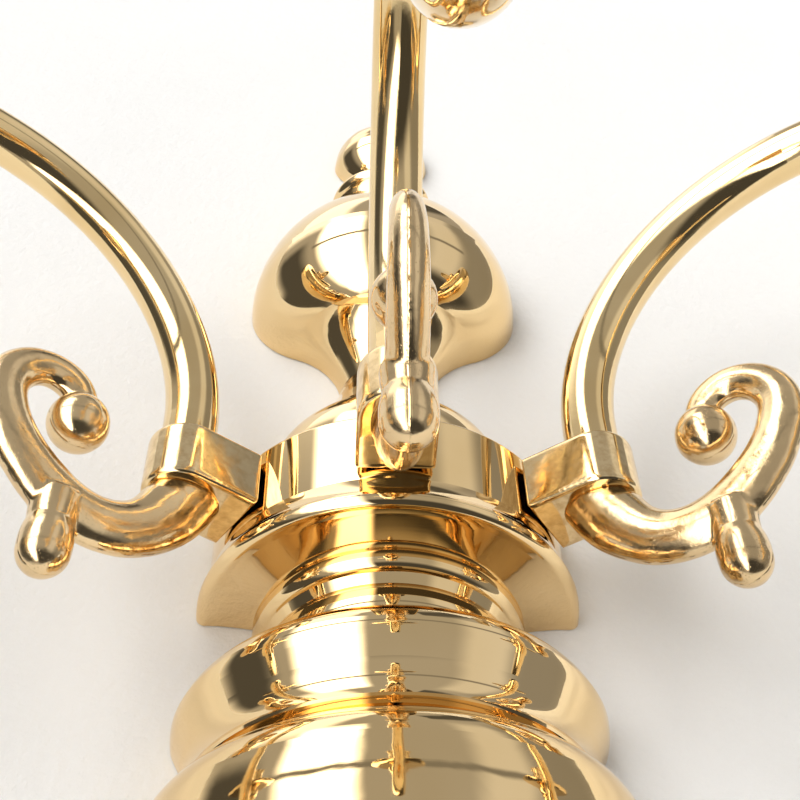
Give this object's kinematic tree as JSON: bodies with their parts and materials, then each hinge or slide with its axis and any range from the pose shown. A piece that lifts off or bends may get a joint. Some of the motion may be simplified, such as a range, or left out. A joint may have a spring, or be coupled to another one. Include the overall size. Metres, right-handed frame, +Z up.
{
  "type": "three-light wall sconce",
  "caption": "Polished brass wall sconce: a half baluster with ball and vase, three arched tube arms on clamping blocks with scroll brackets, drip pans and candle nozzles.",
  "frame": {"origin": "on the wall, on the centre line, 1.8 mm above the lower edge of the hub's lip", "axes": "+Z up, +Y into the wall, the room is on the -Y side, +X to the right seen from the room"},
  "size_m": [0.426, 0.2503, 0.3372],
  "materials": {
    "polished_brass": "turned and mirror polished",
    "cast_brass": "cast and polished, with fine pits left",
    "drawn_brass": "drawn tube, polished",
    "zinc_steel": "zinc plated"
  },
  "bodies": {
    "sconce": {"ball_shell": "polished_brass", "ball_ring": "polished_brass", "collar_shell": "polished_brass", "neck_rings": "polished_brass", "hub_bowl": "polished_brass", "hub_body": "polished_brass", "hub_dome": "polished_brass", "vase_shell": "polished_brass", "finial_disc": "polished_brass", "top_finial": "polished_brass", "lower_ring": "polished_brass", "lower_neck": "polished_brass", "lower_finial": "polished_brass", "back_plate": "zinc_steel", "tie_rod": "zinc_steel", "rod_nuts": "zinc_steel", "rod_washers": "zinc_steel", "arm_screws": "zinc_steel", "arm_block_left": "cast_brass", "scroll_bracket_left": "cast_brass", "arm_tube_left": "drawn_brass", "arm_cup_left": "polished_brass", "arm_block_centre": "cast_brass", "scroll_bracket_centre": "cast_brass", "arm_tube_centre": "drawn_brass", "arm_cup_centre": "polished_brass", "arm_block_right": "cast_brass", "scroll_bracket_right": "cast_brass", "arm_tube_right": "drawn_brass", "arm_cup_right": "polished_brass"},
    "pan_left": {"drip_pan_left": "polished_brass"},
    "nozzle_left": {"candle_nozzle_left": "polished_brass"},
    "pan_centre": {"drip_pan_centre": "polished_brass"},
    "nozzle_centre": {"candle_nozzle_centre": "polished_brass"},
    "pan_right": {"drip_pan_right": "polished_brass"},
    "nozzle_right": {"candle_nozzle_right": "polished_brass"}
  },
  "joints": [
    {"name": "pan_turn_left", "type": "hinge", "parent": "sconce", "child": "pan_left", "pos_m": [-0.17694, -0.12219, -0.0042], "axis": [0, 0, 1], "continuous": true},
    {"name": "nozzle_turn_left", "type": "hinge", "parent": "sconce", "child": "nozzle_left", "pos_m": [-0.17694, -0.12219, 0], "axis": [0, 0, 1], "continuous": true},
    {"name": "pan_turn_centre", "type": "hinge", "parent": "sconce", "child": "pan_centre", "pos_m": [0, -0.2143, -0.0042], "axis": [0, 0, 1], "continuous": true},
    {"name": "nozzle_turn_centre", "type": "hinge", "parent": "sconce", "child": "nozzle_centre", "pos_m": [0, -0.2143, 0], "axis": [0, 0, 1], "continuous": true},
    {"name": "pan_turn_right", "type": "hinge", "parent": "sconce", "child": "pan_right", "pos_m": [0.17694, -0.12219, -0.0042], "axis": [0, 0, 1], "continuous": true},
    {"name": "nozzle_turn_right", "type": "hinge", "parent": "sconce", "child": "nozzle_right", "pos_m": [0.17694, -0.12219, 0], "axis": [0, 0, 1], "continuous": true}
  ]
}
